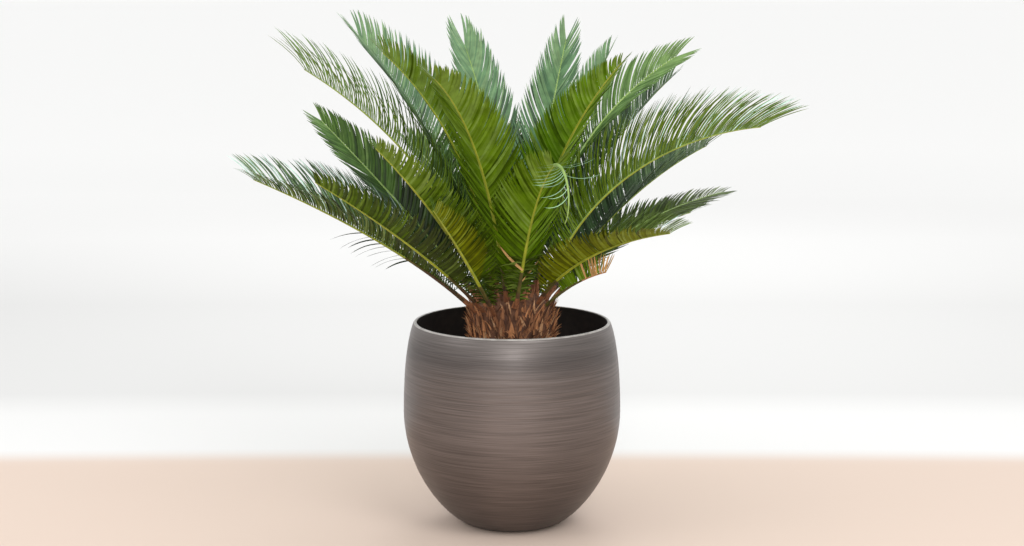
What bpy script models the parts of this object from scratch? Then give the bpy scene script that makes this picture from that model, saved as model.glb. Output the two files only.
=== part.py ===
"""Potted sago palm: a turned pot filled with soil, a scaly caudex and a crown of thin fronds.

Metres, +Z up. The origin is the centre of the pot's flat underside. +X is to the right of the
front view and +Y points away from it.
"""
import math
from collections import namedtuple

import bmesh
import bpy
import numpy as np
from mathutils import Vector
from mathutils.bvhtree import BVHTree

# Driving sizes
POT_HEIGHT = 0.340
POT_RADIUS = 0.180
RIM_RADIUS = 0.1625
FOOT_RADIUS = 0.074
CROWN_TOP = 0.400
CAUDEX_RADIUS = 0.071
GAP = 0.0003

# Pot
BELLY_Z = 0.59 * POT_HEIGHT
WALL = 0.0055
FLOOR = 0.012
LIP = 0.0022
POT_SEGMENTS = 48
LOWER_STEPS = 9
UPPER_STEPS = 6
CREASE = 40.0

# Soil and caudex
SOIL_TOP = 0.283
SOIL_RISE = 0.006
CAUDEX_FOOT = SOIL_TOP + GAP
CAUDEX_SEGMENTS = 20
DOME_FALL = 8.0
SCALE_LENGTH = 0.022
SCALE_RISE = 0.35

# Fronds
STALK_SHARE = 0.11
STALK_STEPS = 3
LEAFLET_SPACING = 0.0185
FEWEST_LEAFLETS = 6
RIB_WIDTH = (0.0068, 0.0024)
RIB_DEPTH = (0.0060, 0.0022)
LEAFLET_LENGTH = 0.098
LEAFLET_ANGLE = (60.0, 32.0)
GROWING_SHARE = 0.25
FADING_SHARE = 0.35
FADE = 0.52
CLOSING_SHARE = 0.86
CLOSING = 8.0
HANGING_SHARES = (0.33, 0.54)
HANGING_ANGLE = 46.0
HANGING_LENGTH = 0.060
KEEL = 36.0
CLEARANCE = 0.0006
SHORTER = (1.0, 0.8, 0.6, 0.42)
CURVE_STEPS = 96
HANGING_FROND = "frond_left_low"
SAME = 1e-6
SEAT_START = 0.02
SEAT_GAP = 1.3 * GAP

Frond = namedtuple(
    "Frond",
    "name heading lean length ring seat bend roll keel leaflet stalk spread fade",
    defaults=(None, 1.0, 0.0, KEEL, LEAFLET_LENGTH, STALK_SHARE, 0.0, FADE),
)

# A frond's heading and seat are degrees round the crown from +X, and its lean is degrees from
# upright at its base and at its tip. Its ring is how far its base stands from the crown's axis,
# its roll is how far its blade has turned about its rib at the tip, its spread is what its
# leaflets' angle to the rib has more than others, and its fade is how much shorter the last are.
# Its keel is how far its wings stand up from flat, or a pair for the first hand and the other.
FRONDS = (
    Frond("frond_left_low", -150, (42.4, 65.6), 0.458, 0.070, bend=0.48, keel=(16, 57), leaflet=0.117,
          stalk=0.17, spread=5, fade=0.5),
    Frond("frond_left_front_low", -124, (47, 64), 0.495, 0.067, -136, bend=0.4, keel=(14, 61),
          leaflet=0.108, stalk=0.14, fade=0.48),
    Frond("frond_left_back_low", 143, (43, 54), 0.445, 0.061, 157, bend=0.4, roll=-48, leaflet=0.094,
          spread=-6, fade=0.56),
    Frond("frond_left_front", -112, (48, 62), 0.53, 0.062, -120, keel=(26, 50), leaflet=0.084, stalk=0.05),
    Frond("frond_left_front_short", -109, (49, 57), 0.34, 0.070, -114, keel=(28, 76), leaflet=0.057,
          stalk=0.32, spread=4, fade=0.4),
    Frond("frond_left_open", -172, (6, 58), 0.487, 0.054, -176, bend=0.7, keel=(30, 46), leaflet=0.124,
          spread=5, fade=0.25),
    Frond("frond_left_back_tall", 153, (20.5, 45.5), 0.484, 0.024, 168, keel=(27, 38), leaflet=0.146, spread=0,
          fade=0.56),
    Frond("frond_left_front_tall", -134, (3, 55), 0.484, 0.040, -146, bend=0.9, stalk=0.05),
    Frond("frond_front_left_tall", -109, (19, 67), 0.514, 0.050, -100, bend=1.3, leaflet=0.105,
          stalk=0.05, spread=-6),
    Frond("frond_back_left_tall", 108, (10, 52.5), 0.472, 0.012, 90, bend=0.7, roll=-22, keel=(38, 12),
          leaflet=0.111, spread=-17, fade=0.2),
    Frond("frond_back_right_tall", 70, (24, 34), 0.452, 0.022, 35, roll=20, keel=44, leaflet=0.103,
          spread=-4, fade=0.52),
    Frond("frond_front_right_tall", -64, (10, 59), 0.535, 0.050, -70, bend=0.7, stalk=0.05,
          spread=-6, fade=0.7),
    Frond("frond_back_right", 55, (24, 44), 0.46, 0.042, 60, keel=54, leaflet=0.085, spread=-8),
    Frond("frond_right_back_tall", 40, (28, 58), 0.47, 0.043, 40, leaflet=0.078, spread=-6),
    Frond("frond_right_tall", 13, (3, 60), 0.47, 0.042, 12, roll=76, keel=(20, 42), leaflet=0.090,
          stalk=0.17, spread=-8, fade=0.46),
    Frond("frond_right_arching", -10, (10, 84), 0.484, 0.056, -6, bend=0.85, keel=(44, 44),
          leaflet=0.152, stalk=0.13, spread=3, fade=0.4),
    Frond("frond_right_back_low", 40, (42.4, 73.5), 0.446, 0.062, 26, keel=(36, 44)),
    Frond("frond_right_low", 22, (36, 80), 0.37, 0.064, 10, bend=0.7, roll=10, keel=7, leaflet=0.089,
          fade=0.7),
    Frond("frond_right_front_low", -57, (33, 79), 0.392, 0.056, -40, bend=0.4, keel=(46, 18),
          leaflet=0.098, stalk=0.07),
    Frond("frond_right_cut", -25, (45, 74), 0.124, 0.061, -22, keel=60, leaflet=0.046, stalk=0.3,
          spread=34, fade=0.2),
    Frond("frond_left_back_side", 167, (52, 66), 0.34, 0.067, 176),
    Frond("frond_back_tall", 92, (38, 80), 0.46, 0.044, 92, stalk=0.06),
    Frond("frond_back_left", 117, (40, 74), 0.42, 0.050, 126, stalk=0.06),
    Frond("frond_back_low", 84, (48, 80), 0.46, 0.064, 84, stalk=0.06),
    Frond("frond_back_left_low", 112, (54, 86), 0.46, 0.068, 108, stalk=0.06),
    Frond("frond_back_right_low", 36, (54, 84), 0.35, 0.066, 40, stalk=0.08),
    Frond("frond_back_middle_low", 62, (54, 82), 0.43, 0.068, 62, stalk=0.06),
    Frond("frond_back_side_low", 132, (60, 88), 0.42, 0.067, 134, stalk=0.06),
)
CURLED = Frond("frond_curled", -73, (26, 64.5), 0.329, 0.060, -84, bend=2.2, stalk=0.05)
CURLED_TIP = Frond("frond_curled_tip", -73, (79, 232), 0.136, 0.0, 0, bend=1.2, keel=(20, -5), leaflet=0.060,
                   stalk=0.0, spread=24, fade=0.95)


def bezier(start, pull, push, end, steps):
    """Points of a cubic curve, without its last one."""
    t = (np.arange(steps) / steps)[:, None]
    start, pull, push, end = (np.array(p, dtype=float) for p in (start, pull, push, end))
    return (1 - t) ** 3 * start + 3 * (1 - t) ** 2 * t * pull + 3 * (1 - t) * t * t * push + t ** 3 * end


def pot_outline():
    """The pot's outer radius and height, from the edge of its foot to its rim."""
    lower = bezier(
        (FOOT_RADIUS, 0.0),
        (1.5 * FOOT_RADIUS, 0.03 * POT_HEIGHT),
        (1.022 * POT_RADIUS, 0.27 * POT_HEIGHT),
        (POT_RADIUS, BELLY_Z),
        LOWER_STEPS,
    )
    upper = bezier(
        (POT_RADIUS, BELLY_Z),
        (0.997 * POT_RADIUS, 0.735 * POT_HEIGHT),
        (0.974 * POT_RADIUS, 0.905 * POT_HEIGHT),
        (RIM_RADIUS, POT_HEIGHT),
        UPPER_STEPS,
    )
    return [tuple(p) for p in lower] + [tuple(p) for p in upper] + [(RIM_RADIUS, POT_HEIGHT - LIP / 2)]


def inner_outline():
    """The cavity's radius and height, a wall's thickness inside the pot's outer face."""
    outer = np.array(pot_outline()[:-1])
    run = np.gradient(outer, axis=0)
    run = run / np.linalg.norm(run, axis=1)[:, None]
    side = outer - WALL * np.stack([run[:, 1], -run[:, 0]], axis=1)
    edge = float(np.interp(FLOOR, side[:, 1], side[:, 0]))
    return [(edge, FLOOR)] + [(float(r), float(z)) for r, z in side if z > FLOOR + LIP]


def material(name, colour, roughness, metallic=0.0):
    surface = bpy.data.materials.new(name)
    surface.use_nodes = True
    shader = surface.node_tree.nodes["Principled BSDF"]
    shader.inputs["Base Color"].default_value = (*colour, 1.0)
    shader.inputs["Roughness"].default_value = roughness
    shader.inputs["Metallic"].default_value = metallic
    return surface


def add_object(name, shape, surface, smooth=False):
    """Turn a bmesh into an object."""
    mesh = bpy.data.meshes.new(name)
    shape.to_mesh(mesh)
    shape.free()
    if smooth:
        mesh.shade_smooth()
        mesh.set_sharp_from_angle(angle=math.radians(CREASE))
    mesh.materials.append(surface)
    piece = bpy.data.objects.new(name, mesh)
    bpy.context.scene.collection.objects.link(piece)
    return piece


def turned(outline, segments):
    """A closed body turned about the axis from an outline that starts and ends on it."""
    shape = bmesh.new()
    middle = [(r, z) for r, z in outline if r > 0.0]
    rings = []
    for r, z in middle:
        turns = [2 * math.pi * k / segments for k in range(segments)]
        rings.append([shape.verts.new((r * math.cos(a), r * math.sin(a), z)) for a in turns])
    for lower, upper in zip(rings, rings[1:]):
        for k in range(segments):
            n = (k + 1) % segments
            shape.faces.new((lower[k], lower[n], upper[n], upper[k]))
    for ring, (r, z) in ((rings[0], outline[0]), (rings[-1], outline[-1])):
        centre = shape.verts.new((0.0, 0.0, z))
        for k in range(segments):
            shape.faces.new((ring[k], ring[(k + 1) % segments], centre))
    bmesh.ops.recalc_face_normals(shape, faces=shape.faces)
    return shape


def build_pot():
    inside = [(r, z) for r, z in reversed(inner_outline()) if z < POT_HEIGHT - LIP]
    lip = [(RIM_RADIUS - LIP / 2, POT_HEIGHT), (RIM_RADIUS - WALL + LIP / 2, POT_HEIGHT)]
    outer = pot_outline()
    neck = [(RIM_RADIUS - WALL, POT_HEIGHT - LIP)]
    outline = [(0.0, 0.0)] + outer + lip + neck + inside + [(0.0, FLOOR)]
    shape = turned(outline, POT_SEGMENTS)
    return add_object("pot", shape, material("pot", (0.16, 0.135, 0.12), 0.38, 0.55), smooth=True)


def build_soil():
    cavity = inner_outline()
    edge_z = SOIL_TOP - SOIL_RISE
    edge = float(np.interp(edge_z, [z for _, z in cavity], [r for r, _ in cavity])) - 2 * GAP
    side = [(r - 2 * GAP, max(z, FLOOR + GAP)) for r, z in cavity if z < edge_z - LIP]
    surface = [(edge, edge_z), (0.75 * edge, SOIL_TOP - SOIL_RISE / 3), (CAUDEX_RADIUS, SOIL_TOP)]
    outline = [(0.0, FLOOR + GAP)] + side + surface + [(0.0, SOIL_TOP)]
    shape = turned(outline, POT_SEGMENTS)
    return add_object("soil", shape, material("soil", (0.030, 0.022, 0.016), 0.95), smooth=True)


def dome(radius):
    """Height of the caudex's crown at a distance from its axis."""
    return CROWN_TOP - DOME_FALL * radius * radius


def caudex_outline():
    flank = [(0.85, 0.0), (0.95, 0.22), (1.0, 0.45), (1.0, 0.62)]
    shoulder = dome(CAUDEX_RADIUS) - CAUDEX_FOOT
    sides = [(CAUDEX_RADIUS * r, CAUDEX_FOOT + shoulder * z) for r, z in flank]
    top = [(CAUDEX_RADIUS * r, dome(CAUDEX_RADIUS * r)) for r in (0.96, 0.78, 0.58, 0.38, 0.18)]
    return [(0.0, CAUDEX_FOOT)] + sides + top + [(0.0, CROWN_TOP)]


def triangles(shape):
    """A triangulated copy of a bmesh as corner positions."""
    copy = shape.copy()
    bmesh.ops.triangulate(copy, faces=copy.faces)
    corners = [[tuple(v.co) for v in face.verts] for face in copy.faces]
    copy.free()
    return corners


def tree_of(corners):
    """A search tree of triangles given by their corners."""
    points = [p for face in corners for p in face]
    faces = [(3 * k, 3 * k + 1, 3 * k + 2) for k in range(len(corners))]
    return BVHTree.FromPolygons(points, faces)


def spike(face, tip, margin):
    """The pyramid from a four-sided face to a tip, a margin larger all round."""
    corners = [v.co.copy() for v in face.verts]
    centre = sum(corners, Vector()) / len(corners)
    reach = (tip - centre).normalized()
    wide = [c + (c - centre).normalized() * margin + reach * margin for c in corners]
    far = tip + reach * margin
    return [(tuple(wide[k]), tuple(wide[(k + 1) % 4]), tuple(far)) for k in range(4)]


def is_clear(corners, trees):
    """Whether triangles cross none of the trees' surfaces."""
    probe = tree_of(corners)
    return not any(probe.overlap(tree) for tree in trees)


def draw_out(shape, face, tip):
    """Pull a face out into a pyramid with its point at the tip."""
    poked = bmesh.ops.poke(shape, faces=[face])
    poked["verts"][0].co = tip


def frond_curve(frond, base, shares):
    """Position, direction, side and upper-face normal of a frond's rib at shares of its length."""
    s = np.linspace(0.0, 1.0, CURVE_STEPS + 1)
    lean = np.radians(frond.lean[0] + (frond.lean[1] - frond.lean[0]) * s ** frond.bend)
    heading = math.radians(frond.heading)
    outward = np.array([math.cos(heading), math.sin(heading), 0.0])
    direction = np.sin(lean)[:, None] * outward + np.cos(lean)[:, None] * np.array([0.0, 0.0, 1.0])
    steps = (direction[1:] + direction[:-1]) / 2 * frond.length / CURVE_STEPS
    points = np.vstack([np.zeros(3), np.cumsum(steps, axis=0)]) + np.array(base)
    level = Vector((-math.sin(heading), math.cos(heading), 0.0))
    stations = []
    for share in shares:
        place = Vector([np.interp(share, s, points[:, axis]) for axis in range(3)])
        along = Vector([np.interp(share, s, direction[:, axis]) for axis in range(3)]).normalized()
        roll = math.radians(frond.roll) * share
        side = level * math.cos(roll) + along.cross(level) * math.sin(roll)
        stations.append((place, along, side, along.cross(side)))
    return stations


def leaflet_length(frond, share):
    """Leaflets grow from the stalk up to a third of the blade and shorten towards its tip."""
    u = (share - frond.stalk) / (1.0 - frond.stalk)
    grow = min(u / GROWING_SHARE, 1.0) ** 0.6
    fade = 1.0 - frond.fade * max((u - FADING_SHARE) / (1.0 - FADING_SHARE), 0.0) ** 1.6
    return frond.leaflet * grow * fade


def frond_shares(frond):
    """Stations along a frond: a few on the stalk and one between each two leaflets."""
    stalk = [frond.stalk * k / STALK_STEPS for k in range(STALK_STEPS)] if frond.stalk > 0.0 else []
    count = max(FEWEST_LEAFLETS, round(frond.length * (1.0 - frond.stalk) / LEAFLET_SPACING))
    blade = [frond.stalk + (1.0 - frond.stalk) * k / count for k in range(count + 1)]
    return stalk, blade


def frond_rib(frond, base):
    """A frond's rib as a bmesh, with its leaflets' side faces, roots and tips."""
    stalk, blade = frond_shares(frond)
    shares = stalk + blade
    shape = bmesh.new()
    rings = []
    for share, (place, along, side, normal) in zip(shares, frond_curve(frond, base, shares)):
        wide = side * (RIB_WIDTH[0] + (RIB_WIDTH[1] - RIB_WIDTH[0]) * share) / 2
        deep = normal * (RIB_DEPTH[0] + (RIB_DEPTH[1] - RIB_DEPTH[0]) * share) / 2
        corners = (place + wide + deep, place - wide + deep, place - wide - deep, place + wide - deep)
        rings.append([shape.verts.new(c) for c in corners])
    shape.faces.new(list(reversed(rings[0])))
    shape.faces.new(rings[-1])
    spikes = []
    for step, (lower, upper) in enumerate(zip(rings, rings[1:])):
        faces = []
        for k in range(4):
            n = (k + 1) % 4
            faces.append(shape.faces.new((lower[k], lower[n], upper[n], upper[k])))
        if step >= len(stalk):
            last = shares[step + 1] > 1.0 - SAME
            middle = 1.0 if last else (shares[step] + shares[step + 1]) / 2
            spikes.append((faces[3], 1.0, middle))
            spikes.append((faces[1], -1.0, middle))
            if frond.name == HANGING_FROND and HANGING_SHARES[0] < middle < HANGING_SHARES[1]:
                spikes.append((faces[2], 0.0, middle))
    return shape, spikes


def keel_of(frond, hand):
    """How far a frond's wing on one hand stands up from flat."""
    if isinstance(frond.keel, tuple):
        return frond.keel[0 if hand > 0.0 else 1]
    return frond.keel


def leaflet_tip(frond, base, hand, share, portion):
    """Where a leaflet on one hand of the rib ends, or hanging below it, at a portion of its length."""
    place, along, side, normal = frond_curve(frond, base, [share])[0]
    if hand == 0.0:
        down = math.radians(HANGING_ANGLE)
        return place + (along * math.cos(down) - normal * math.sin(down)) * HANGING_LENGTH * portion
    closing = max((share - CLOSING_SHARE) / (1.0 - CLOSING_SHARE), 0.0) ** 1.5
    angle = LEAFLET_ANGLE[0] + (LEAFLET_ANGLE[1] - LEAFLET_ANGLE[0]) * share
    forward = math.radians(angle + frond.spread - CLOSING * closing)
    keel = math.radians(keel_of(frond, hand))
    across = side * hand * math.cos(keel) + normal * math.sin(keel)
    direction = along * math.cos(forward) + across * math.sin(forward)
    return place + direction * leaflet_length(frond, share) * portion


def seat_of(frond, caudex_tree):
    """A frond's base, slid back along its rib until its foot stands a gap clear of the crown."""
    turn = math.radians(frond.heading if frond.seat is None else frond.seat)
    base = Vector((frond.ring * math.cos(turn), frond.ring * math.sin(turn), dome(frond.ring)))
    place, along, side, normal = frond_curve(frond, base, [0.0])[0]
    start = place + along * SEAT_START
    wide = side * RIB_WIDTH[0] / 2
    deep = normal * RIB_DEPTH[0] / 2
    foot = [start + wide * i + deep * j for i in (-1, 0, 1) for j in (-1, 0, 1)]
    hits = [caudex_tree.ray_cast(point, -along)[3] for point in foot]
    return start - along * (min(d for d in hits if d is not None) - SEAT_GAP)


def build_fronds(caudex_corners, obstacles):
    """All fronds: every rib first, then the leaflets that stay clear of the other fronds."""
    caudex_tree = tree_of(caudex_corners)
    built = []
    for frond in FRONDS + (CURLED,):
        base = seat_of(frond, caudex_tree)
        built.append((frond, base, *frond_rib(frond, base)))
    place, along, _, _ = frond_curve(CURLED, built[-1][1], [1.0])[0]
    tip_base = place + along * 2 * GAP
    built.append((CURLED_TIP, tip_base, *frond_rib(CURLED_TIP, tip_base)))
    trees = [tree_of(triangles(entry[2])) for entry in built]
    leaf = material("frond", (0.075, 0.13, 0.035), 0.5)
    for index, (frond, base, shape, spikes) in enumerate(built):
        others = obstacles + [tree for k, tree in enumerate(trees) if k != index]
        for face, hand, share in spikes:
            for portion in SHORTER:
                tip = leaflet_tip(frond, base, hand, share, portion)
                if is_clear(spike(face, tip, CLEARANCE), others):
                    draw_out(shape, face, tip)
                    break
        trees[index] = tree_of(triangles(shape))
        add_object(frond.name, shape, leaf)
    return trees


def build_caudex(trees):
    """The caudex, with a pointed scale drawn out of each face of its flank that has room."""
    shape = turned(caudex_outline(), CAUDEX_SEGMENTS)
    bottom = CAUDEX_FOOT + GAP
    flank = [f for f in shape.faces if len(f.verts) == 4 and min(v.co.z for v in f.verts) > bottom]
    for face in flank:
        centre = face.calc_center_median()
        outward = Vector((centre.x, centre.y, 0.0)).normalized()
        slope = min(max((centre.z - CAUDEX_FOOT) / (CROWN_TOP - CAUDEX_FOOT), 0.0), 1.0)
        direction = (outward * (1.0 - slope) + Vector((0.0, 0.0, 1.0)) * (SCALE_RISE + slope)).normalized()
        for portion in SHORTER:
            tip = centre + direction * SCALE_LENGTH * portion
            if is_clear(spike(face, tip, CLEARANCE), trees):
                draw_out(shape, face, tip)
                break
    return add_object("caudex", shape, material("caudex", (0.15, 0.075, 0.04), 0.85))


def clear_scene():
    for existing in list(bpy.data.objects):
        bpy.data.objects.remove(existing, do_unlink=True)


def mesh_tree(piece):
    """A search tree of an object's mesh."""
    shape = bmesh.new()
    shape.from_mesh(piece.data)
    corners = triangles(shape)
    shape.free()
    return tree_of(corners)


def main():
    clear_scene()
    pot = build_pot()
    soil = build_soil()
    body = turned(caudex_outline(), CAUDEX_SEGMENTS)
    body_corners = triangles(body)
    body.free()
    obstacles = [mesh_tree(pot), mesh_tree(soil)]
    trees = build_fronds(body_corners, obstacles + [tree_of(body_corners)])
    build_caudex(trees + obstacles)


main()
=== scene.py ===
import math
from collections import namedtuple

import bpy
import numpy as np
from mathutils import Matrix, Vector, noise
from mathutils.bvhtree import BVHTree


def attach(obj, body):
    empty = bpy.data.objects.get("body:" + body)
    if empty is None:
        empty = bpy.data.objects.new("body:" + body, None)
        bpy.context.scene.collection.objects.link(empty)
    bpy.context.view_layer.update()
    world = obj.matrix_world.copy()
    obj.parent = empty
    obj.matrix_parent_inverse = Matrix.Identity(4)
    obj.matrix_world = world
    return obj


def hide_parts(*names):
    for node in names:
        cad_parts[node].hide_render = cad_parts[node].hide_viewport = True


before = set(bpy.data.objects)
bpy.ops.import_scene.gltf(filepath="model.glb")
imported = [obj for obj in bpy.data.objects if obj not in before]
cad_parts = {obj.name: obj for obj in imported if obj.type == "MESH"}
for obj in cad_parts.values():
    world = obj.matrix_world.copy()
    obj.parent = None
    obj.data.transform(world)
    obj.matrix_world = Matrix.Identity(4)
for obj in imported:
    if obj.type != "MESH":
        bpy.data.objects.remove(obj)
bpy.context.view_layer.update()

# Driving sizes, in metres, as in the part's source
POT_HEIGHT = 0.340
POT_RADIUS = 0.180
RIM_RADIUS = 0.1625
FOOT_RADIUS = 0.074
CROWN_TOP = 0.400
CAUDEX_RADIUS = 0.071
GAP = 0.0003
BELLY_Z = 0.59 * POT_HEIGHT
WALL = 0.0055
FLOOR = 0.012
LIP = 0.0022
SOIL_TOP = 0.283
SOIL_RISE = 0.006
CAUDEX_FOOT = SOIL_TOP + GAP
CAUDEX_SEGMENTS = 20
DOME_FALL = 8.0
STALK_SHARE = 0.11
RIB_WIDTH = (0.0068, 0.0024)
RIB_DEPTH = (0.0060, 0.0022)
LEAFLET_LENGTH = 0.098
LEAFLET_ANGLE = (60.0, 32.0)
GROWING_SHARE = 0.25
FADING_SHARE = 0.35
FADE = 0.52
CLOSING_SHARE = 0.86
CLOSING = 8.0
HANGING_SHARES = (0.33, 0.54)
HANGING_ANGLE = 46.0
HANGING_LENGTH = 0.060
HANGING_FROND = "frond_left_low"
KEEL = 36.0
CURVE_STEPS = 96
SEAT_START = 0.02
SEAT_GAP = 1.3 * GAP

# Finer sizes of the looks
LEAFLET_PITCH = 0.0045
LEAFLET_WIDTH = 0.0038
LEAFLET_RINGS = 6
FEWEST_LEAFLETS = 6
FOOT_LEAFLET_WIDTH = 0.0026
HANGING_COUNT = 9
HANGING_WIDTH = 0.0027
SPINE_WIDTH = 0.0021
SPINE_RINGS = 4
RIB_STEP = 0.010
STALK_BROWN = {"frond_left_low": 0.118, "frond_left_front_low": 0.078}
POT_SEGMENTS = 192
LIP_STEPS = 8
SOIL_SEGMENTS = 160
SOIL_RINGS = 60
CORE_SEGMENTS = 120
CORE_STEP = 0.0022
SCALE_RINGS = 6
TRUNK_SCALES = 520
LEAF_BASES = 44
CROWN_BRACTS = 150

# A leaflet's path is tested in steps for other ribs and the caudex, and keeps this share of what
# is free
PATH_STEPS = 5
CLEAR_SHARE = 0.94

# How many shades paler a leaf is at shares of its frond's length; the paler shades hold more
# painted sheen
PALE_SHARES = (0.0, 0.35, 0.7, 1.0)
PALE_SHADES = (0.0, 0.9, 2.3, 3.9)

GOLDEN_TURN = math.pi * (3 - math.sqrt(5))
UP = np.array([0.0, 0.0, 1.0])
SEED = 7

# Camera, with its focal length in pixels of the photograph, and stage
PHOTO_WIDTH = 1024
FOCAL_LENGTH = 2150
SENSOR_WIDTH = 36.0
CAMERA_PLACE = (0.0, -3.5, 0.987)
CAMERA_PITCH = 9.2
LAMP_TARGET = (0.0, 0.0, 0.45)
FLOOR_REACH = 40.0

Frond = namedtuple(
    "Frond",
    "name heading lean length ring seat bend roll keel leaflet stalk spread fade",
    defaults=(None, 1.0, 0.0, KEEL, LEAFLET_LENGTH, STALK_SHARE, 0.0, FADE),
)

# A frond's heading and seat are degrees round the crown from +X, and its lean is degrees from
# upright at its base and at its tip. Its ring is how far its base stands from the crown's axis,
# its roll is how far its blade has turned about its rib at the tip, its spread is what its
# leaflets' angle to the rib has more than others, and its fade is how much shorter the last are.
# A bend below 1 turns it most near its base, and one above 1 near its tip. Its stalk is the share
# of its length below the leaflets, and its leaflet the length of the longest of them. Its keel is
# how far its wings stand up from flat, or a pair for the first hand and the other.
FRONDS = (
    Frond("frond_left_low", -150, (42.4, 65.6), 0.458, 0.070, bend=0.48, keel=(16, 57),
          leaflet=0.117, stalk=0.17, spread=5, fade=0.5),
    Frond("frond_left_front_low", -124, (47, 64), 0.495, 0.067, -136, bend=0.4, keel=(14, 61),
          leaflet=0.108, stalk=0.14, fade=0.48),
    Frond("frond_left_back_low", 143, (43, 54), 0.445, 0.061, 157, bend=0.4, roll=-48, leaflet=0.094,
          spread=-6, fade=0.56),
    Frond("frond_left_front", -112, (48, 62), 0.53, 0.062, -120, keel=(26, 50), leaflet=0.084, stalk=0.05),
    Frond("frond_left_front_short", -109, (49, 57), 0.34, 0.070, -114, keel=(28, 76), leaflet=0.057,
          stalk=0.32, spread=4, fade=0.4),
    Frond("frond_left_open", -172, (6, 58), 0.487, 0.054, -176, bend=0.7, keel=(30, 46), leaflet=0.124,
          spread=5, fade=0.25),
    Frond("frond_left_back_tall", 153, (20.5, 45.5), 0.484, 0.024, 168, keel=(27, 38), leaflet=0.146,
          fade=0.56),
    Frond("frond_left_front_tall", -134, (3, 55), 0.484, 0.040, -146, bend=0.9, stalk=0.05),
    Frond("frond_front_left_tall", -109, (19, 67), 0.514, 0.050, -100, bend=1.3, leaflet=0.105,
          stalk=0.05, spread=-6),
    Frond("frond_back_left_tall", 108, (10, 52.5), 0.472, 0.012, 90, bend=0.7, roll=-22, keel=(38, 12),
          leaflet=0.111, spread=-17, fade=0.2),
    Frond("frond_back_right_tall", 70, (24, 34), 0.452, 0.022, 35, roll=20, keel=44, leaflet=0.103,
          spread=-4, fade=0.52),
    Frond("frond_front_right_tall", -64, (10, 59), 0.535, 0.050, -70, bend=0.7, stalk=0.05,
          spread=-6, fade=0.7),
    Frond("frond_back_right", 55, (24, 44), 0.46, 0.042, 60, keel=54, leaflet=0.085, spread=-8),
    Frond("frond_right_back_tall", 40, (28, 58), 0.47, 0.043, 40, leaflet=0.078, spread=-6),
    Frond("frond_right_tall", 13, (3, 60), 0.47, 0.042, 12, roll=76, keel=(20, 42), leaflet=0.090,
          stalk=0.17, spread=-8, fade=0.46),
    Frond("frond_right_arching", -10, (10, 84), 0.484, 0.056, -6, bend=0.85, keel=(44, 44),
          leaflet=0.152, stalk=0.13, spread=3, fade=0.4),
    Frond("frond_right_back_low", 40, (42.4, 73.5), 0.446, 0.062, 26, keel=(36, 44)),
    Frond("frond_right_low", 22, (36, 80), 0.37, 0.064, 10, bend=0.7, roll=10, keel=7, leaflet=0.089,
          fade=0.7),
    Frond("frond_right_front_low", -57, (33, 79), 0.392, 0.056, -40, bend=0.4, keel=(46, 18),
          leaflet=0.098, stalk=0.07),
    Frond("frond_right_cut", -25, (45, 74), 0.124, 0.061, -22, keel=60, leaflet=0.046, stalk=0.3,
          spread=34, fade=0.2),
    Frond("frond_left_back_side", 167, (52, 66), 0.34, 0.067, 176),
    Frond("frond_back_tall", 92, (38, 80), 0.46, 0.044, 92, stalk=0.06),
    Frond("frond_back_left", 117, (40, 74), 0.42, 0.050, 126, stalk=0.06),
    Frond("frond_back_low", 84, (48, 80), 0.46, 0.064, 84, stalk=0.06),
    Frond("frond_back_left_low", 112, (54, 86), 0.46, 0.068, 108, stalk=0.06),
    Frond("frond_back_right_low", 36, (54, 84), 0.35, 0.066, 40, stalk=0.08),
    Frond("frond_back_middle_low", 62, (54, 82), 0.43, 0.068, 62, stalk=0.06),
    Frond("frond_back_side_low", 132, (60, 88), 0.42, 0.067, 134, stalk=0.06),
)
CURLED = Frond("frond_curled", -73, (26, 64.5), 0.329, 0.060, -84, bend=2.2, stalk=0.05)
CURLED_TIP = Frond("frond_curled_tip", -73, (79, 232), 0.136, 0.0, 0, bend=1.2, keel=(20, -5),
                   leaflet=0.060, stalk=0.0, spread=24, fade=0.95)

# Fronds at the back that are joined with those of their side
SIDE_FRONDS = (
    "frond_left_back_low", "frond_left_back_tall", "frond_right_back_low", "frond_right_back_tall",
)
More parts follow.
